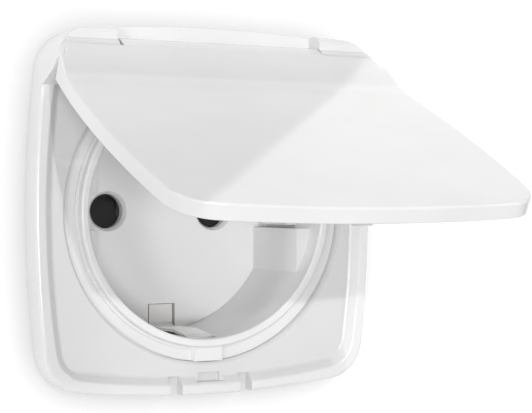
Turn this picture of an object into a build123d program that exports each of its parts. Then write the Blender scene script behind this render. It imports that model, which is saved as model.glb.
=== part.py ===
from build123d import *
from math import atan2, cos, degrees, hypot, radians, sin
import os

# Flush earthed socket outlet (CEE 7/3 face) with a hinged splash lid.
# Millimetres. +X is right, +Y goes into the wall, +Z is up.
# The origin is on the wall plane, on the axis of the round recess.
# A "depth" is measured out of the wall, towards the user (minus Y); behind the wall it is negative.

# ---- driving dimensions -------------------------------------------------------------------
HALF_W = 28.2            # front frame, half width at the middle of a side
HALF_H = 28.2            # front frame, half height
SIDE_SAG = 2.0           # how far each bulged side falls back at its ends
CORNER_R = 6.4
GAP = 0.3                # free gap between two bodies that move against each other

PIN_SPACING = 19.0       # CEE 7/3 live to neutral
PIN_HOLE_R = 2.85
PIN_MOUTH_R = 3.3

RIM_FRONT = 5.4
RIM_W = 1.5
RIM_SLOPE = 1.2          # width of the sloping inner side of the rim
PLATE_FRONT = 4.1
PLATE_BACK = 2.4
WALL = 1.8

GROOVE_R = 23.3
COLLAR_R_OUT = 21.0
COLLAR_R_IN = 19.75
COLLAR_FRONT = 4.7
GROOVE_FLOOR = 2.9
CUP_FLANGE_R = 24.9
CUP_FLOOR = -14.5        # depth of the recess floor
CUP_FLOOR_BACK = -16.8

# lid, in its closed place
HINGE_DEPTH = 7.8
HINGE_Z = 22.9
PIN_R = 0.75
BARREL_R = 2.8           # hinge tongue of the lid, and the frame's cheeks beside it
TONGUE_HALF = 16.6
PIN_HALF = 21.0
LID_FRONT = 7.8
LID_SKIN = 1.6
LID_WALL = 1.5
LID_EDGE = RIM_FRONT + 0.15
LID_DROP = 1.2           # the lid's outline sits this much low, which leaves a lip for the finger
CREASE_Z = 13.0
TONGUE_DEPTH = 10.45      # where the sloping skin ends
END_ANGLE = 25.0         # slope of the lid's end face beside the tongue
OPEN_ANGLE = 65.0        # the lid is drawn standing open by this much
TAB_Z = -26.0            # lower side of the latch tab
SEAL_R_OUT = 21.0
SEAL_R_IN = 19.25
EAR_X = 24.2             # centre of the rounding at the lid's upper corners

# fixing to the wall
PLATE_SIZE = 46.4
PLATE_T = 1.0
FIX_SPACING = 38.0
FIX_HOLE_R = 1.7

# mechanism behind the wall
BODY_R = 21.5
BODY_WALL = 1.6
BODY_FRONT = CUP_FLOOR_BACK - 0.1
BODY_BACK = -38.0
SCREW_X = 11.4
SCREW_Z = 13.0
TERMINALS = {"live": (-9.0, -10.0), "neutral": (9.0, -10.0), "earth": (0.0, 12.0)}
LEVER_TRAVEL = 1.2

os.makedirs("parts", exist_ok=True)


# ---- helpers --------------------------------------------------------------------------------
def slab(shape, back, front):
    """A flat XZ shape made solid between two depths."""
    return extrude(Plane.XZ.offset(back) * shape, amount=front - back)


def block(x0, x1, z0, z1, back, front):
    """A box between two X, two Z and two depth values."""
    shape = Pos((x0 + x1) / 2, (z0 + z1) / 2) * Rectangle(abs(x1 - x0), abs(z1 - z0))
    return slab(shape, back, front)


def ring(r_out, r_in):
    return Circle(r_out) - Circle(r_in)


def outline(inset=0.0):
    """The bulged, round-cornered square shared by the frame, the lid and the gasket."""
    full_w = HALF_W - inset
    full_h = HALF_H - inset
    w = full_w - SIDE_SAG
    h = full_h - SIDE_SAG
    top_w = w
    top_h = h + 0.5
    sides = [
        ThreePointArc((-w, -h), (0, -full_h), (w, -h)),
        ThreePointArc((w, -h), (full_w, 0), (top_w, top_h)),
        ThreePointArc((top_w, top_h), (0, full_h), (-top_w, top_h)),
        ThreePointArc((-top_w, top_h), (-full_w, 0), (-w, -h)),
    ]
    face = make_face(sides)
    return fillet(face.vertices(), CORNER_R - inset)


def side_profile(points, x0, x1):
    """A solid from points given as (depth, z), running from x0 to x1."""
    face = make_face(Polyline(*[(0, -d, z) for d, z in points], close=True))
    return Pos(x0, 0, 0) * extrude(face, amount=x1 - x0, dir=(1, 0, 0))


def rod_x(r, depth, z, x0, x1):
    """A round bar along X."""
    return Pos((x0 + x1) / 2, -depth, z) * Rot(0, 90, 0) * Cylinder(r, x1 - x0)


def rod_y(r, x, z, back, front):
    """A round bar along Y."""
    return slab(Pos(x, z) * Circle(r), back, front)


def save(name, part):
    part.label = name
    export_step(part, f"parts/{name}.step")


# ---- front frame ----------------------------------------------------------------------------
SHOULDER_FRONT = 5.6      # front of the wall above the hinge tongue
CHEEK_FRONT = 9.1        # front of the cheeks above the hinge axis
CAVITY_FRONT = 3.6


def end_line(clearance, depth):
    """Height of the sloping line that passes under the hinge axis at a clearance, at a given depth."""
    a = radians(END_ANGLE)
    foot_depth = HINGE_DEPTH + clearance * sin(a)
    foot_z = HINGE_Z - clearance * cos(a)
    return foot_z + (depth - foot_depth) * sin(a) / cos(a)


def make_front_frame():
    frame = slab(outline(), 0, RIM_FRONT)
    frame = fillet(frame.edges().group_by(Axis.Y)[0], 0.45)
    # the sunk plate, with a rim whose inner side slopes
    rise = RIM_FRONT - PLATE_FRONT
    plate_face = Plane.XZ.offset(PLATE_FRONT) * outline(RIM_W + RIM_SLOPE)
    frame = frame - extrude(plate_face, amount=rise, taper=-degrees(atan2(RIM_SLOPE, rise)))
    # soft edges: inner edge of the rim, and the foot of the rim on the plate
    front_edges = frame.edges().filter_by_position(Axis.Y, -RIM_FRONT - 0.01, -RIM_FRONT + 0.01)
    inner_edges = []
    for edge in front_edges:
        middle = edge.center()
        if hypot(middle.X, middle.Z) < 34.5 and max(abs(middle.X), abs(middle.Z)) < 27.2:
            inner_edges.append(edge)
    frame = fillet(inner_edges, 0.4)
    foot_edges = frame.edges().filter_by_position(Axis.Y, -PLATE_FRONT - 0.01, -PLATE_FRONT + 0.01)
    frame = fillet(foot_edges, 0.7)
    # hinge shoulder across the top, with a cheek at each side that wraps round the hinge axis
    shoulder = side_profile([(0, 21.9), (SHOULDER_FRONT, 21.9), (SHOULDER_FRONT, 30), (0, 30)], -30, 30)
    foot_depth = HINGE_DEPTH + BARREL_R * sin(radians(END_ANGLE))
    low = end_line(BARREL_R, RIM_FRONT)
    barrel_top = HINGE_Z + (BARREL_R ** 2 - (CHEEK_FRONT - HINGE_DEPTH) ** 2) ** 0.5
    brow_r = 1.6
    brow = []
    for t in range(0, 91, 15):
        brow.append((CHEEK_FRONT - brow_r * (1 - cos(radians(t))), 26.0 + brow_r * sin(radians(t))))
    for side in (-1, 1):
        x0, x1 = sorted((side * (TONGUE_HALF + GAP), side * 30))
        cheek = [(0, low), (RIM_FRONT, low), (foot_depth, end_line(BARREL_R, foot_depth))]
        cheek = cheek + [(HINGE_DEPTH, HINGE_Z), (CHEEK_FRONT, barrel_top)] + brow
        cheek = cheek + [(CHEEK_FRONT - brow_r, 30), (0, 30)]
        shoulder = shoulder + side_profile(cheek, x0, x1)
        shoulder = shoulder + rod_x(BARREL_R, HINGE_DEPTH, HINGE_Z, x0, x1)
    cavity = side_profile([(0, 22.8), (CAVITY_FRONT, 22.8), (CAVITY_FRONT, 25.2), (0, 26.3)], -15, 15)
    frame = frame + (shoulder & slab(outline(), 0, 12))
    frame = frame - cavity - slab(outline(WALL), 0, PLATE_BACK)
    # recess between the cheeks that the lid's hinge tongue turns in
    sweep = rod_x(BARREL_R + GAP, HINGE_DEPTH, HINGE_Z, -TONGUE_HALF - GAP, TONGUE_HALF + GAP)
    frame = frame - sweep
    frame = frame - rod_x(PIN_R + 0.05, HINGE_DEPTH, HINGE_Z, -PIN_HALF - 0.2, PIN_HALF + 0.2)
    # opening for the cup's collar and groove
    frame = frame - rod_y(GROOVE_R, 0, 0, 0, RIM_FRONT)
    bevel = Pos(0, -PLATE_FRONT + 0.2, 0) * Rot(90, 0, 0) * Cone(GROOVE_R, GROOVE_R + 0.4, 0.4)
    frame = frame - (bevel & block(-30, 30, -30, 21.8, 0, RIM_FRONT))
    # snap tongue at the bottom: two notches through the rim
    for x in (-5.9, 5.9):
        frame = frame - block(x - 1.0, x + 1.0, -30, -HALF_H + RIM_W + 1.4, PLATE_FRONT - 1.0, RIM_FRONT)
    # shallow catch for the latch tab of the lid
    frame = frame - block(-1.8, 1.8, TAB_Z - 0.3, TAB_Z + 1.1, PLATE_FRONT - 0.7, PLATE_FRONT + 0.5)
    frame = frame - block(-2.4, 2.4, TAB_Z - 0.3, TAB_Z + 2.0, PLATE_FRONT, RIM_FRONT + 0.1)
    # snap hooks that grip the support plate
    for side in (-1, 1):
        x0, x1 = sorted((side * (PLATE_SIZE / 2 + 0.15), side * (PLATE_SIZE / 2 + 1.2)))
        for z in (-13.0, 13.0):
            frame = frame + block(x0, x1, z - 3, z + 3, 0.2, PLATE_BACK + 0.5)
    return frame


# ---- socket cup -----------------------------------------------------------------------------
EARTH_SLOT_HALF = 2.4
GUIDE_X = 17.1
GUIDE_FRONT = 1.1
EARTH_SLOT_Z = 15.4


def make_socket_cup():
    cup = slab(ring(COLLAR_R_OUT, COLLAR_R_IN), CUP_FLOOR_BACK, COLLAR_FRONT)
    mouth = cup.edges().filter_by(GeomType.CIRCLE).group_by(Axis.Y)[0]
    cup = fillet(mouth, 0.35)
    cup = cup + slab(ring(GROOVE_R - 0.04, COLLAR_R_OUT - 0.3), PLATE_BACK - 0.2, GROOVE_FLOOR)
    cup = cup + slab(ring(CUP_FLANGE_R, COLLAR_R_OUT - 0.3), PLATE_T, PLATE_BACK - 0.05)
    # low step at the foot of the collar, then a key tab across the groove
    cup = cup + slab(ring(COLLAR_R_OUT + 0.5, COLLAR_R_OUT - 0.3), GROOVE_FLOOR - 0.1, GROOVE_FLOOR + 0.3)
    cup = cup + block(-2.4, 2.4, -GROOVE_R + 0.15, -COLLAR_R_OUT + 0.3, GROOVE_FLOOR - 0.3, PLATE_FRONT)
    # guide blocks of the plug, and a short key rib between them
    bore = slab(Circle(COLLAR_R_IN + 0.4), CUP_FLOOR, COLLAR_FRONT - 1.4)
    for side in (-1, 1):
        for z in (-6.45, 6.45):
            x0, x1 = sorted((side * GUIDE_X, side * 21))
            guide = block(x0, x1, z - 3.65, z + 3.65, CUP_FLOOR, GUIDE_FRONT)
            cup = cup + (guide & bore)
        x0, x1 = sorted((side * 18.0, side * 21))
        cup = cup + (block(x0, x1, -2.3, 2.3, CUP_FLOOR, -4.0) & bore)
    return cup - earth_slots()


def earth_slots():
    """Two slots, above and below, that the earth clips stand in."""
    slots = Part()
    for side in (-1, 1):
        z0, z1 = sorted((side * EARTH_SLOT_Z, side * 20.6))
        slots += block(-EARTH_SLOT_HALF, EARTH_SLOT_HALF, z0, z1, CUP_FLOOR_BACK - 1, COLLAR_FRONT - 2.2)
    return slots


def make_cup_floor():
    """The disc that closes the recess and holds the pin holes; the shutter slides behind it."""
    floor = slab(Circle(COLLAR_R_IN - 0.02), CUP_FLOOR_BACK, CUP_FLOOR)
    # pin holes with a cone at the mouth
    for x in (-PIN_SPACING / 2, PIN_SPACING / 2):
        floor = floor - rod_y(PIN_HOLE_R, x, 0, CUP_FLOOR_BACK - 1, CUP_FLOOR + 1)
        cone = Pos(x, -CUP_FLOOR, 0) * Rot(90, 0, 0) * Cone(PIN_HOLE_R, PIN_MOUTH_R, 0.8)
        floor = floor - Pos(0, 0.39, 0) * cone
    # two screw bosses behind the floor
    for x in (-SCREW_X, SCREW_X):
        floor = floor + rod_y(2.6, x, SCREW_Z, CUP_FLOOR_BACK - 3.0, CUP_FLOOR_BACK + 0.1)
        floor = floor - rod_y(1.05, x, SCREW_Z, CUP_FLOOR_BACK - 3.5, CUP_FLOOR_BACK + 0.9)
    return floor - earth_slots()


# ---- lid, drawn closed ------------------------------------------------------------------------
END_GAP = BARREL_R + 0.28


def lid_outline(inset=0.0):
    return Pos(0, -LID_DROP) * outline(inset)


def skin_depth(z):
    """Depth of the outer skin: flat up to the crease, then sloping out to the hinge tongue."""
    end_z = end_line(END_GAP, TONGUE_DEPTH)
    return LID_FRONT + (TONGUE_DEPTH - LID_FRONT) * max(0.0, z - CREASE_Z) / (end_z - CREASE_Z)


def make_lid_closed():
    top_z = end_line(END_GAP, TONGUE_DEPTH)
    # plan view: the outline cut off below the hinge, with rounded ears
    plan = lid_outline() & (Pos(0, top_z - 40) * Rectangle(80, 80))
    for side in (-1, 1):
        corner = Pos(side * (EAR_X + 2), top_z) * Rectangle(4, 4)
        corner = corner - Pos(side * EAR_X, top_z - 2.0) * Circle(2.0)
        plan = plan - corner
    body = slab(plan, LID_EDGE, 14)
    body = body & side_profile(
        [(0, -32), (LID_FRONT, -32), (LID_FRONT, CREASE_Z), (TONGUE_DEPTH, top_z),
         (LID_EDGE - 1, end_line(END_GAP, LID_EDGE - 1)), (0, end_line(END_GAP, LID_EDGE - 1))], -30, 30)
    # blend of the crease, then the rounded outer edge all round the skin
    crease = body.edges().filter_by_position(Axis.Z, CREASE_Z - 0.01, CREASE_Z + 0.01)
    body = fillet(crease, 8.0)
    skin_edges = [e for e in body.edges() if -e.center().Y > LID_FRONT - 0.02
                  and not (abs(e.center().X) < 1 and e.center().Z > 0)]
    body = fillet(skin_edges, 0.35)
    inner_z = top_z - 1.3
    hollow = slab(lid_outline(LID_WALL), 0, 14) & side_profile(
        [(0, -32), (LID_FRONT - LID_SKIN, -32), (LID_FRONT - LID_SKIN, CREASE_Z + 0.2),
         (skin_depth(inner_z) - LID_SKIN, inner_z), (0, end_line(END_GAP + 1.4, 0))], -30, 30)
    body = body - hollow
    body = body - block(-TONGUE_HALF + 0.6, TONGUE_HALF - 0.6, 12, 22, 0, LID_FRONT - LID_SKIN)
    # hinge tongue: a round bar joined to the skin
    tongue = rod_x(BARREL_R, HINGE_DEPTH, HINGE_Z, -TONGUE_HALF, TONGUE_HALF)
    web_points = [(LID_FRONT - LID_SKIN, CREASE_Z), (LID_FRONT, CREASE_Z), (TONGUE_DEPTH, top_z)]
    web_points = web_points + [(10.58, HINGE_Z - 0.4), (HINGE_DEPTH, HINGE_Z)]
    web_points.append((HINGE_DEPTH - 0.6, HINGE_Z - BARREL_R + 0.3))
    web_points.append((LID_FRONT - LID_SKIN + 0.8, 18.0))
    web = side_profile(web_points, -TONGUE_HALF, TONGUE_HALF)
    body = body + tongue + web
    body = body - rod_x(PIN_R, HINGE_DEPTH, HINGE_Z, -20, 20)
    # two ribs hold the seal ring
    below_hinge = block(-30, 30, -30, 21.2, 0, 14)
    for r in (18.95, 21.3):
        rib = slab(ring(r + 0.3, r - 0.3), LID_EDGE + 0.15, LID_FRONT - LID_SKIN + 0.2)
        body = body + (rib & below_hinge)
    body = body - slab(ring(SEAL_R_OUT, SEAL_R_IN), COLLAR_FRONT, LID_FRONT - LID_SKIN)
    # latch tab at the free edge
    tab = block(-1.5, 1.5, TAB_Z, TAB_Z + 0.8, PLATE_FRONT - 0.4, LID_FRONT - LID_SKIN + 0.2)
    tab = tab + block(-2.1, 2.1, TAB_Z, TAB_Z + 1.0, PLATE_FRONT + GAP, LID_FRONT - LID_SKIN + 0.2)
    return body + tab


def make_seal_closed():
    return slab(ring(SEAL_R_OUT, SEAL_R_IN), COLLAR_FRONT + GAP, LID_FRONT - LID_SKIN)


def make_pin_closed():
    return rod_x(PIN_R, HINGE_DEPTH, HINGE_Z, -PIN_HALF, PIN_HALF)


def open_lid(part):
    """Turn a piece of the lid from its closed place to the open place that is drawn."""
    hinge = Axis((0, -HINGE_DEPTH, HINGE_Z), (-1, 0, 0))
    return part.rotate(hinge, OPEN_ANGLE)


# ---- wall side ------------------------------------------------------------------------------
def make_wall_gasket():
    return slab(outline(WALL + 0.05) - outline(WALL + 0.95), -0.0, 1.4)


def make_support_plate():
    face = RectangleRounded(PLATE_SIZE, PLATE_SIZE, 4.0) - Circle(COLLAR_R_OUT + 0.3)
    for x in (-FIX_SPACING / 2, FIX_SPACING / 2):
        for z in (-FIX_SPACING / 2, FIX_SPACING / 2):
            face = face - Pos(x, z) * Circle(FIX_HOLE_R)
    return slab(face, 0, PLATE_T)


# ---- shutter --------------------------------------------------------------------------------
SHUTTER_FRONT = CUP_FLOOR_BACK - 0.3
SHUTTER_BACK = SHUTTER_FRONT - 1.4


def make_shutter_slider():
    slider = block(-12.6, 12.6, -3.6, 3.4, SHUTTER_BACK, SHUTTER_FRONT)
    # blind ramps that the plug pins push aside
    for x in (-PIN_SPACING / 2, PIN_SPACING / 2):
        ramp = side_profile([(SHUTTER_FRONT + 1, -2.4), (SHUTTER_FRONT, -2.4), (SHUTTER_FRONT - 0.9, 2.4),
                             (SHUTTER_FRONT + 1, 2.4)], x - 2.4, x + 2.4)
        slider = slider - ramp
    slider = slider + block(-1.6, 1.6, 3.3, 4.0, SHUTTER_BACK, SHUTTER_FRONT)
    return slider


def make_shutter_spring():
    helix = Helix(pitch=1.25, height=9.0, radius=0.62)
    path = helix
    profile = Plane(origin=path @ 0, z_dir=path % 0) * Circle(0.14)
    coil = sweep(profile, path=path, is_frenet=True)
    return Pos(0, -(SHUTTER_FRONT + SHUTTER_BACK) / 2, 4.3) * coil


def make_shutter_guide():
    guide = slab(Circle(19.4), SHUTTER_BACK - 1.5, SHUTTER_BACK - GAP)
    for x in (-PIN_SPACING / 2, PIN_SPACING / 2):
        guide = guide - rod_y(3.2, x, 0, -30, 0)
    for side in (-1, 1):
        z0, z1 = sorted((side * 13.0, side * 20))
        guide = guide - block(-3.2, 3.2, z0, z1, -30, 0)
        x0, x1 = sorted((side * 12.9, side * 14.4))
        guide = guide + block(x0, x1, -4.0, 9.0, SHUTTER_BACK - 0.4, CUP_FLOOR_BACK - 0.05)
        guide = guide - rod_y(2.7, side * SCREW_X, SCREW_Z, -30, 0)
    guide = guide + block(-1.5, 1.5, 13.5, 14.6, SHUTTER_BACK - 0.4, CUP_FLOOR_BACK - 0.05)
    guide = guide + block(-4.4, 4.4, 13.5, 14.6, SHUTTER_BACK - 0.4, SHUTTER_BACK + 0.2)
    return guide


# ---- mechanism --------------------------------------------------------------------------------
def make_mechanism_base():
    base = slab(Circle(BODY_R), BODY_BACK, BODY_FRONT)
    base = base - slab(Circle(BODY_R - BODY_WALL), BODY_BACK + BODY_WALL, BODY_FRONT)
    for side in (-1, 1):
        x = side * SCREW_X
        column = rod_y(2.8, x, SCREW_Z, BODY_BACK + 0.5, CUP_FLOOR_BACK - 3.3)
        base = base + (column & slab(Circle(BODY_R), BODY_BACK, BODY_FRONT))
        base = base - rod_y(1.35, x, SCREW_Z, BODY_BACK - 1, CUP_FLOOR_BACK - 3)
        base = base - rod_y(2.3, x, SCREW_Z, BODY_BACK - 1, BODY_BACK + 4.0)
    for x, z in TERMINALS.values():
        for side in (-1, 1):
            base = base - rod_y(1.4, x + side * 4.2, z, BODY_BACK - 1, BODY_BACK + BODY_WALL + 1)
        base = base - block(x - 2.0, x + 2.0, z - 2.6, z + 2.6, BODY_BACK - 1, BODY_BACK + BODY_WALL + 0.1)
    # walls between the three poles
    bore = slab(Circle(BODY_R - BODY_WALL + 0.3), BODY_BACK + 1, -24.0)
    base = base + (block(-0.6, 0.6, -20, 4.0, BODY_BACK + 1, -24.0) & bore)
    base = base + (block(-20, -12.4, 3.2, 4.4, BODY_BACK + 1, -24.0) & bore)
    base = base + (block(12.4, 20, 3.2, 4.4, BODY_BACK + 1, -24.0) & bore)
    return base


def make_pin_contact(side):
    """A brass clamp: two leaves beside the pin, a back, and a tail to the terminal."""
    x = side * PIN_SPACING / 2
    z_tail = TERMINALS["live"][1]
    part = block(x - 3.0, x - 2.2, -2.6, 2.6, -29.0, -20.6)
    part = part + block(x + 2.2, x + 3.0, -2.6, 2.6, -29.0, -20.6)
    part = part + block(x - 3.0, x + 3.0, -2.6, 2.6, -29.8, -29.0)
    part = part + block(x - 2.0, x + 2.0, z_tail + 2.4, -2.5, -29.8, -29.0)
    part = part + block(x - 2.0, x + 2.0, z_tail + 2.4, z_tail + 3.0, -34.5, -29.0)
    return part


def make_earth_clip(side):
    """A nickel-plated strip: a leg behind the floor, a foot in the floor slot and a bowed tongue."""
    z0, z1 = sorted((side * 18.0, side * 18.6))
    clip = block(-1.7, 1.7, z0, z1, -21.1, -15.0)
    z0, z1 = sorted((side * 15.5, side * 18.6))
    clip = clip + block(-2.1, 2.1, z0, z1, -15.5, -14.9)
    points = [(-15.5, 18.1), (-14.4, 19.1), (-5.0, 18.8), (-0.6, 19.3), (0.8, 19.7)]
    line = [(d, side * v) for d, v in points]
    back = [(d, side * (v + 0.5)) for d, v in reversed(points)]
    return clip + side_profile(line + back, -2.1, 2.1)


def make_earth_bridge():
    bridge = block(-1.7, 1.7, -19.4, 14.4, -21.7, -21.1)
    bridge = bridge + block(-1.7, 1.7, 14.0, 19.4, -21.7, -21.1)
    bridge = bridge + block(-1.7, 1.7, 14.4, 15.0, -34.5, -21.2)
    return bridge


def make_terminal_cage(x, z):
    """A steel box the wires push into from behind. Its far wall is the contact's tail."""
    cage = block(x - 5.8, x + 5.8, z - 2.9, z + 2.3, -35.6, -31.0)
    cage = cage - block(x - 5.2, x + 5.2, z - 2.3, z + 3.0, -36, -31.6)
    return cage


def make_clamp_spring(x, z):
    """A bent leaf that pushes each wire against the tail."""
    points = [(-35.4, -2.0), (-32.2, -2.0), (-32.2, 0.8), (-34.2, 1.4)]
    inner = [(-34.0, 0.85), (-32.7, 0.4), (-32.7, -1.6), (-35.4, -1.6)]
    return side_profile([(d, z + v) for d, v in points + inner], x - 5.0, x + 5.0)


def make_release_lever(x, z):
    inside = BODY_BACK + BODY_WALL
    lever = block(x - 1.7, x + 1.7, z - 1.1, z + 2.2, BODY_BACK - 1.8, inside + 0.5)
    flange = block(x - 2.6, x + 2.6, z - 1.1, z + 2.2, inside + 0.3, inside + 0.7)
    return lever + flange


def make_screw(side):
    x = side * SCREW_X
    screw = rod_y(1.05, x, SCREW_Z, BODY_BACK + 3.0, CUP_FLOOR_BACK + 0.6)
    head = rod_y(2.1, x, SCREW_Z, BODY_BACK + 2.2, BODY_BACK + 3.9)
    slot = block(x - 2.2, x + 2.2, SCREW_Z - 0.3, SCREW_Z + 0.3, BODY_BACK + 2.0, BODY_BACK + 2.9)
    return screw + head - slot


# ---- write every piece ------------------------------------------------------------------------
save("front_frame", make_front_frame())
save("socket_cup", make_socket_cup())
save("cup_floor", make_cup_floor())
save("hinged_lid", open_lid(make_lid_closed()))
save("lid_seal", open_lid(make_seal_closed()))
save("hinge_pin", open_lid(make_pin_closed()))
save("wall_gasket", make_wall_gasket())
save("support_plate", make_support_plate())
save("shutter_slider", make_shutter_slider())
save("shutter_spring", make_shutter_spring())
save("shutter_guide", make_shutter_guide())
save("mechanism_base", make_mechanism_base())
save("live_contact", make_pin_contact(-1))
save("neutral_contact", make_pin_contact(1))
save("earth_clip_top", make_earth_clip(1))
save("earth_clip_bottom", make_earth_clip(-1))
save("earth_bridge", make_earth_bridge())
for pole, (px, pz) in TERMINALS.items():
    save(f"{pole}_terminal_cage", make_terminal_cage(px, pz))
    save(f"{pole}_clamp_spring", make_clamp_spring(px, pz))
    save(f"{pole}_release_lever", make_release_lever(px, pz))
save("screw_left", make_screw(-1))
save("screw_right", make_screw(1))
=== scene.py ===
from math import cos, pi, radians, sin

import bmesh
import bpy
from mathutils import Matrix, Vector

# Looks for the flush earthed socket outlet with a hinged splash lid.
# Metres, in the frame of the CAD model: +X right, +Y into the wall, +Z up, the wall plane at y = 0.
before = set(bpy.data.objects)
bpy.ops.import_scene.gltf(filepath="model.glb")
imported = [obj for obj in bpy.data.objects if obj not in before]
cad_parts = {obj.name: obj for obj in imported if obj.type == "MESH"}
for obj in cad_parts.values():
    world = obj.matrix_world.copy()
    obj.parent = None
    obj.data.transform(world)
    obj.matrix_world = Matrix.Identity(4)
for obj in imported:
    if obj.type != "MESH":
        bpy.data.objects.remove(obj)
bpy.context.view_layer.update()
scene = bpy.context.scene
MM = 0.001

# ---- camera numbers: from the left, level with the part --------------------------------------
AZIMUTH = radians(-27.12)
ELEVATION = radians(0.17)
DISTANCE = 0.23475
TARGET = Vector((0.01211, 0.0, 0.00078))
LENS = 98.4
CLIP_NEAR = 0.01
CLIP_FAR = 10

# ---- light numbers ---------------------------------------------------------------------------
# far lights, as name: (azimuth, elevation, strength, apparent size), the angles in degrees
SUNS = {
    "key": (-9, 14.7, 0.75, 1.2),
    "fill": (-18, -4, 0.94, 10),
    "inner": (-42, 0, 0.50, 10),
    "side": (-80, 12, 0.56, 10),
    "right": (58, 25, 0.42, 14),
    "under": (3, 27, 0.42, 2),
}
SKY_TOP = 0.12
SKY_HORIZON = 0.52
SKY_BACK = 0.55
BEAM_SIZE = 0.12
BEAM_DISTANCE = 0.6

# ---- stage numbers ---------------------------------------------------------------------------
WALL_HALF = 0.12
WALL_HOLE_R = 0.0222
WALL_HOLE_STEPS = 96
# painted contact shade on the glowing wall: how far from the frame it reaches, how low the glow drops,
# its samples
PAINTED_SHADE_REACH = 0.009
PAINTED_SHADE_GLOW = 0.52
PAINTED_SHADE_SAMPLES = 8
FLOOR_HALF = 1
FLOOR_Z = -0.14

# ---- surface numbers -------------------------------------------------------------------------
NOISE_ROUGHNESS = 0.55
EDGE_SAMPLES = 4
SKIN_DEPTH = 0.02 * MM
PLASTIC_EDGE = 0.12 * MM
METAL_EDGE = 0.05 * MM
ZINC_EDGE = 0.06 * MM
RUBBER_EDGE = 0.1 * MM
RUBBER_DEPTH = 0.03 * MM
PLASTIC_IOR = 1.5
COAT_ROUGHNESS = 0.08
FLOW_SCALE = 55
DRIFT_SCALE = 14
STREAK_SCALE = 420
TARNISH_SCALE = 160
SPANGLE_SCALE = 700
ZINC_HAZE_SCALE = 90
ZINC_GRAIN_SCALE = 900
DUST_SCALE = 240
RUBBER_GRAIN_SCALE = 1800
FLOOR_CLOUD_SCALE = 6
# the Mix node's colour sockets, which share their names with its number sockets
MIX_COLOUR_A = 6
MIX_COLOUR_B = 7
MIX_COLOUR_RESULT = 2


# ---- material helpers ------------------------------------------------------------------------
def grey(value):
    return (value, value, value)


def set_range(node, low, high, out_low, out_high):
    """Fills in a Map Range node: low..high becomes out_low..out_high."""
    node.inputs["From Min"].default_value = low
    node.inputs["From Max"].default_value = high
    node.inputs["To Min"].default_value = out_low
    node.inputs["To Max"].default_value = out_high


class Nodes:
    """A short way to write a node tree."""

    def __init__(self, name):
        self.material = bpy.data.materials.new(name)
        self.material.use_nodes = True
        self.tree = self.material.node_tree
        self.shader = self.tree.nodes["Principled BSDF"]
        self.out = self.tree.nodes["Material Output"]
        self.coords = self.add("ShaderNodeTexCoord").outputs["Object"]

    def add(self, kind):
        return self.tree.nodes.new(kind)

    def link(self, a, b):
        self.tree.links.new(a, b)

    def stretched(self, x, y, z):
        """Object coordinates scaled by x, y, z."""
        node = self.add("ShaderNodeMapping")
        node.inputs["Scale"].default_value = (x, y, z)
        self.link(self.coords, node.inputs["Vector"])
        return node.outputs["Vector"]

    def noise(self, scale, detail=3.0, vector=None):
        node = self.add("ShaderNodeTexNoise")
        node.inputs["Scale"].default_value = scale
        node.inputs["Detail"].default_value = detail
        node.inputs["Roughness"].default_value = NOISE_ROUGHNESS
        self.link(vector or self.coords, node.inputs["Vector"])
        return node.outputs["Fac"]

    def ramp(self, value, low, high, out_low, out_high):
        """Maps value from low..high to out_low..out_high."""
        node = self.add("ShaderNodeMapRange")
        set_range(node, low, high, out_low, out_high)
        self.link(value, node.inputs["Value"])
        return node.outputs["Result"]

    def blend(self, factor, a, b):
        """A colour between a and b."""
        node = self.add("ShaderNodeMix")
        node.data_type = "RGBA"
        self.link(factor, node.inputs["Factor"])
        node.inputs[MIX_COLOUR_A].default_value = (*a, 1)
        node.inputs[MIX_COLOUR_B].default_value = (*b, 1)
        return node.outputs[MIX_COLOUR_RESULT]

    def bump(self, height, strength, distance, base):
        """Normals of a fine relief on top of the base normals."""
        node = self.add("ShaderNodeBump")
        node.inputs["Strength"].default_value = strength
        node.inputs["Distance"].default_value = distance
        self.link(height, node.inputs["Height"])
        self.link(base, node.inputs["Normal"])
        return node.outputs["Normal"]

    def edge(self, radius):
        """Normals rounded off over sharp edges."""
        node = self.add("ShaderNodeBevel")
        node.samples = EDGE_SAMPLES
        node.inputs["Radius"].default_value = radius
        return node.outputs["Normal"]

    def set(self, **values):
        """Gives each named shader socket a link, a colour or a number."""
        for key, value in values.items():
            socket = self.shader.inputs[key.replace("_", " ")]
            if isinstance(value, bpy.types.NodeSocket):
                self.link(value, socket)
            elif isinstance(value, tuple):
                socket.default_value = (*value, 1)
            else:
                socket.default_value = value


def moulded(name, dark, light, rough, grain, gloss=0.0):
    """Injection-moulded plastic: a faint flow mottle, a fine skin, softly rounded edges."""
    n = Nodes(name)
    flow = n.noise(FLOW_SCALE, 2.0)
    fine = n.noise(grain, 4.0)
    drift = n.noise(DRIFT_SCALE, 1.0)
    n.set(Base_Color=n.blend(n.ramp(flow, 0.35, 0.65, 0, 1), dark, light),
          Roughness=n.ramp(drift, 0.3, 0.7, rough * 0.85, rough * 1.15),
          Normal=n.bump(fine, 0.10, SKIN_DEPTH, n.edge(PLASTIC_EDGE)),
          Coat_Weight=gloss,
          Coat_Roughness=COAT_ROUGHNESS,
          IOR=PLASTIC_IOR)
    return n.material


def metal(name, dark, light, rough, streak):
    """Rolled strip: fine streaks along the strip and a cloudy tarnish."""
    n = Nodes(name)
    lines = n.noise(STREAK_SCALE, 3.0, n.stretched(*streak))
    cloud = n.noise(TARNISH_SCALE, 4.0)
    n.set(Base_Color=n.blend(n.ramp(cloud, 0.35, 0.7, 0, 1), dark, light),
          Metallic=1.0,
          Roughness=n.ramp(lines, 0.3, 0.7, rough * 0.7, rough * 1.3),
          Normal=n.bump(lines, 0.12, SKIN_DEPTH, n.edge(METAL_EDGE)))
    return n.material


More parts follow.
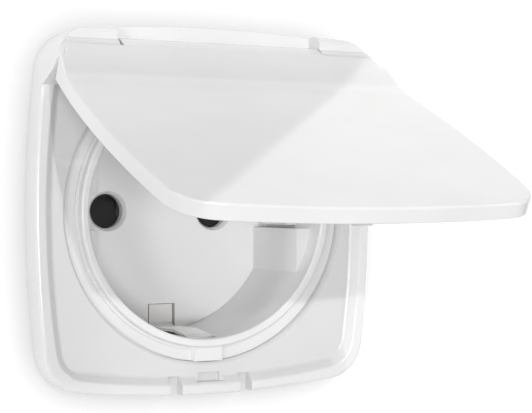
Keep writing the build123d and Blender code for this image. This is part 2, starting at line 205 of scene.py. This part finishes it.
def spangled(name, dark, light, rough):
    """Zinc plating: small crystal patches with slightly different grey."""
    n = Nodes(name)
    cell = n.add("ShaderNodeTexVoronoi")
    cell.inputs["Scale"].default_value = SPANGLE_SCALE
    n.link(n.coords, cell.inputs["Vector"])
    patch = n.add("ShaderNodeSeparateColor")
    n.link(cell.outputs["Color"], patch.inputs["Color"])
    haze = n.noise(ZINC_HAZE_SCALE)
    grain = n.noise(ZINC_GRAIN_SCALE)
    n.set(Base_Color=n.blend(patch.outputs["Red"], dark, light),
          Metallic=1.0,
          Roughness=n.ramp(haze, 0.3, 0.7, rough * 0.8, rough * 1.3),
          Normal=n.bump(grain, 0.1, SKIN_DEPTH, n.edge(ZINC_EDGE)))
    return n.material


def rubber(name, dark, light):
    """Soft seal: matt, finely grained, with a little dust."""
    n = Nodes(name)
    dust = n.noise(DUST_SCALE, 4.0)
    grain = n.noise(RUBBER_GRAIN_SCALE)
    n.set(Base_Color=n.blend(n.ramp(dust, 0.4, 0.7, 0, 1), dark, light),
          Roughness=n.ramp(dust, 0.3, 0.7, 0.55, 0.75),
          Normal=n.bump(grain, 0.25, RUBBER_DEPTH, n.edge(RUBBER_EDGE)),
          Sheen_Weight=0.15,
          Sheen_Roughness=0.5)
    return n.material


# plastics: darkest and lightest colour, roughness, scale of the skin's grain
white_gloss = moulded("white_gloss", grey(0.71), grey(0.74), 0.16, 2600, gloss=0.3)
white_satin = moulded("white_satin", grey(0.80), grey(0.83), 0.30, 2200, gloss=0.1)
black_plastic = moulded("black_plastic", grey(0.010), grey(0.014), 0.45, 1800)
grey_plastic = moulded("grey_plastic", (0.030, 0.032, 0.034), (0.040, 0.042, 0.045), 0.42, 1500)
light_plastic = moulded("light_plastic", (0.46, 0.47, 0.47), (0.50, 0.51, 0.51), 0.40, 1500)
lever_orange = moulded("lever_orange", (0.62, 0.13, 0.015), (0.68, 0.16, 0.02), 0.35, 1500)
# the cup floor is a paler copy of the white plastic, painted lighter to stand in for the light that
# fills the recess
floor_white_painted_light = moulded("floor_white_painted_light", grey(0.94), grey(0.96), 0.32, 2200, gloss=0.1)
soft_seal = rubber("soft_seal", (0.56, 0.56, 0.55), (0.62, 0.62, 0.61))
# metals: darkest and lightest colour, roughness, stretch of the streaks along each axis
zinc_steel = spangled("zinc_steel", (0.52, 0.53, 0.54), (0.63, 0.64, 0.65), 0.34)
spring_steel = metal("spring_steel", (0.42, 0.42, 0.43), (0.52, 0.52, 0.53), 0.25, (0.2, 1, 1))
nickel = metal("nickel", (0.91, 0.90, 0.89), (0.96, 0.96, 0.95), 0.50, (1, 0.15, 1))
brass = metal("brass", (0.62, 0.42, 0.16), (0.72, 0.52, 0.22), 0.28, (1, 0.15, 1))

FINISH = {
    "front_frame": white_gloss,
    "hinged_lid": white_gloss,
    "socket_cup": white_satin,
    "cup_floor": floor_white_painted_light,
    "lid_seal": soft_seal,
    "wall_gasket": soft_seal,
    "hinge_pin": spring_steel,
    "support_plate": zinc_steel,
    "shutter_slider": black_plastic,
    "shutter_spring": spring_steel,
    "shutter_guide": light_plastic,
    "mechanism_base": grey_plastic,
    "live_contact": brass,
    "neutral_contact": brass,
    "earth_clip_top": nickel,
    "earth_clip_bottom": nickel,
    "earth_bridge": nickel,
    "screw_left": zinc_steel,
    "screw_right": zinc_steel,
}
for pole in ("live", "neutral", "earth"):
    FINISH[f"{pole}_terminal_cage"] = zinc_steel
    FINISH[f"{pole}_clamp_spring"] = spring_steel
    FINISH[f"{pole}_release_lever"] = lever_orange
for name, finish in FINISH.items():
    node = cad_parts[name]
    node.data.materials.clear()
    node.data.materials.append(finish)


# ---- stage -----------------------------------------------------------------------------------
def placed(name, data):
    """A new object in the scene."""
    obj = bpy.data.objects.new(name, data)
    scene.collection.objects.link(obj)
    return obj


def sheet_with_hole(name, half, hole_r, steps):
    """A flat square in the XZ plane with a round hole, so the mechanism can stand through the wall."""
    bm = bmesh.new()
    inner = []
    outer = []
    for i in range(steps):
        a = 2 * pi * i / steps
        reach = half / max(abs(cos(a)), abs(sin(a)))
        inner.append(bm.verts.new((hole_r * cos(a), 0, hole_r * sin(a))))
        outer.append(bm.verts.new((reach * cos(a), 0, reach * sin(a))))
    for i in range(steps):
        j = (i + 1) % steps
        bm.faces.new((inner[i], outer[i], outer[j], inner[j]))
    mesh = bpy.data.meshes.new(name)
    bm.to_mesh(mesh)
    bm.free()
    return placed(name, mesh)


def wall_glow_painted_shade():
    """A wall that glows white, its glow dimmed by ambient occlusion near the frame as a painted
    contact shade; from behind it lets the mechanism be seen.
    """
    n = Nodes("wall_glow_painted_shade")
    contact = n.add("ShaderNodeAmbientOcclusion")
    contact.samples = PAINTED_SHADE_SAMPLES
    contact.inputs["Distance"].default_value = PAINTED_SHADE_REACH
    # painted shade: the emission drops where the wall meets the frame, so the wall looks shadowed
    # there
    n.set(Base_Color=grey(0.12),
          Roughness=0.9,
          Specular_IOR_Level=0.0,
          Emission_Color=grey(1),
          Emission_Strength=n.ramp(contact.outputs["AO"], 0.35, 1.0, PAINTED_SHADE_GLOW, 1.0))
    clear = n.add("ShaderNodeBsdfTransparent")
    mix = n.add("ShaderNodeMixShader")
    n.link(n.add("ShaderNodeNewGeometry").outputs["Backfacing"], mix.inputs["Fac"])
    n.link(n.shader.outputs["BSDF"], mix.inputs[1])
    n.link(clear.outputs["BSDF"], mix.inputs[2])
    n.link(mix.outputs["Shader"], n.out.inputs["Surface"])
    return n.material


def floor_paint():
    """Plain pale floor with a very faint cloud."""
    n = Nodes("floor_paint")
    cloud = n.ramp(n.noise(FLOOR_CLOUD_SCALE, 2.0), 0.3, 0.7, 0, 1)
    n.set(Base_Color=n.blend(cloud, (0.80, 0.80, 0.79), (0.84, 0.84, 0.83)),
          Roughness=0.85,
          Specular_IOR_Level=0.1)
    return n.material


wall = sheet_with_hole("wall", WALL_HALF, WALL_HOLE_R, WALL_HOLE_STEPS)
wall.data.materials.append(wall_glow_painted_shade())

floor_mesh = bpy.data.meshes.new("floor")
corners = [(x * FLOOR_HALF, y * FLOOR_HALF, FLOOR_Z) for x, y in ((-1, -1), (1, -1), (1, 1), (-1, 1))]
floor_mesh.from_pydata(corners, [], [(0, 1, 2, 3)])
floor = placed("floor", floor_mesh)
floor.data.materials.append(floor_paint())


# ---- camera ----------------------------------------------------------------------------------
def direction_to(azimuth, elevation):
    """Azimuth 0 is straight in front of the wall, negative is to the left."""
    return Vector((sin(azimuth) * cos(elevation), -cos(azimuth) * cos(elevation), sin(elevation)))


back = direction_to(AZIMUTH, ELEVATION)
camera = placed("camera", bpy.data.cameras.new("camera"))
camera.data.lens = LENS
camera.data.clip_start = CLIP_NEAR
camera.data.clip_end = CLIP_FAR
camera.location = TARGET + back * DISTANCE
camera.rotation_mode = "QUATERNION"
camera.rotation_quaternion = (-back).to_track_quat("-Z", "Y")
scene.camera = camera

# ---- light -----------------------------------------------------------------------------------
scene.view_settings.view_transform = "Standard"
world = bpy.data.worlds.new("studio")
scene.world = world
world.use_nodes = True


def sky(tree):
    """A plain sky: dim overhead, a pale band at the horizon, and paler behind the wall."""
    def ramp(value, low, high, out_low, out_high):
        node = tree.nodes.new("ShaderNodeMapRange")
        node.interpolation_type = "SMOOTHSTEP"
        set_range(node, low, high, out_low, out_high)
        tree.links.new(value, node.inputs["Value"])
        return node.outputs["Result"]

    def compute(operation, *values):
        node = tree.nodes.new("ShaderNodeMath")
        node.operation = operation
        for value, socket in zip(values, node.inputs):
            tree.links.new(value, socket)
        return node.outputs["Value"]

    coords = tree.nodes.new("ShaderNodeTexCoord")
    direction = tree.nodes.new("ShaderNodeSeparateXYZ")
    tree.links.new(coords.outputs["Generated"], direction.inputs["Vector"])
    height = compute("ABSOLUTE", direction.outputs["Z"])
    band = ramp(height, 0.03, 0.35, SKY_HORIZON, SKY_TOP)
    behind = ramp(direction.outputs["Y"], -0.05, 0.5, 0.0, SKY_BACK)
    background = tree.nodes["Background"]
    tree.links.new(compute("ADD", band, behind), background.inputs["Strength"])
    background.inputs["Color"].default_value = (1, 1, 1, 1)


sky(world.node_tree)


def sun(name, azimuth, elevation, strength, size):
    """A far light that shines from the given direction."""
    light = bpy.data.lights.new(name, "SUN")
    light.energy = strength
    light.angle = size
    obj = placed(name, light)
    obj.rotation_mode = "QUATERNION"
    obj.rotation_quaternion = (-direction_to(azimuth, elevation)).to_track_quat("-Z", "Y")


for name, (azimuth, elevation, strength, size) in SUNS.items():
    sun(name, radians(azimuth), radians(elevation), strength, radians(size))


def beam(name, side_a, side_b, aim, energy, spread, width=BEAM_SIZE, height=BEAM_SIZE):
    """A narrow beam that comes from the direction aim, with one side along side_a to side_b."""
    side_a = Vector(side_a)
    side_b = Vector(side_b)
    along = (side_b - side_a).normalized()
    axis = Vector(aim)
    axis = (axis - along * axis.dot(along)).normalized()
    across = axis.cross(along)
    light = bpy.data.lights.new(name, "AREA")
    light.shape = "RECTANGLE"
    light.size = width
    light.size_y = height
    light.spread = spread
    light.energy = energy
    obj = placed(name, light)
    obj.matrix_world = Matrix((along, -across, axis)).transposed().to_4x4()
    obj.location = (side_a + side_b) / 2 + across * height / 2 + axis * BEAM_DISTANCE


# the side of this beam crosses the open lid as a soft diagonal
beam("beam",
     side_a=(0.0233, -0.0105, 0.0217),
     side_b=(-0.0233, -0.0540, 0.0014),
     aim=(0.30, -0.30, 0.90),
     energy=0.011,
     spread=radians(0.3))
# this one only reaches the top edge of the frame, above the hinge
beam("brow",
     side_a=(-0.02, -0.0105, 0.0262),
     side_b=(0.02, -0.0105, 0.0262),
     aim=(0.0, -0.80, 0.60),
     energy=0.006,
     spread=radians(0.35))
# and this one lights the free edge of the open lid from below
beam("edge",
     side_a=(-0.03, -0.0543, -0.0014),
     side_b=(0.03, -0.0543, -0.0014),
     aim=(0.0, -0.95, -0.16),
     energy=0.00005,
     spread=radians(0.2),
     width=0.047,
     height=0.0024)
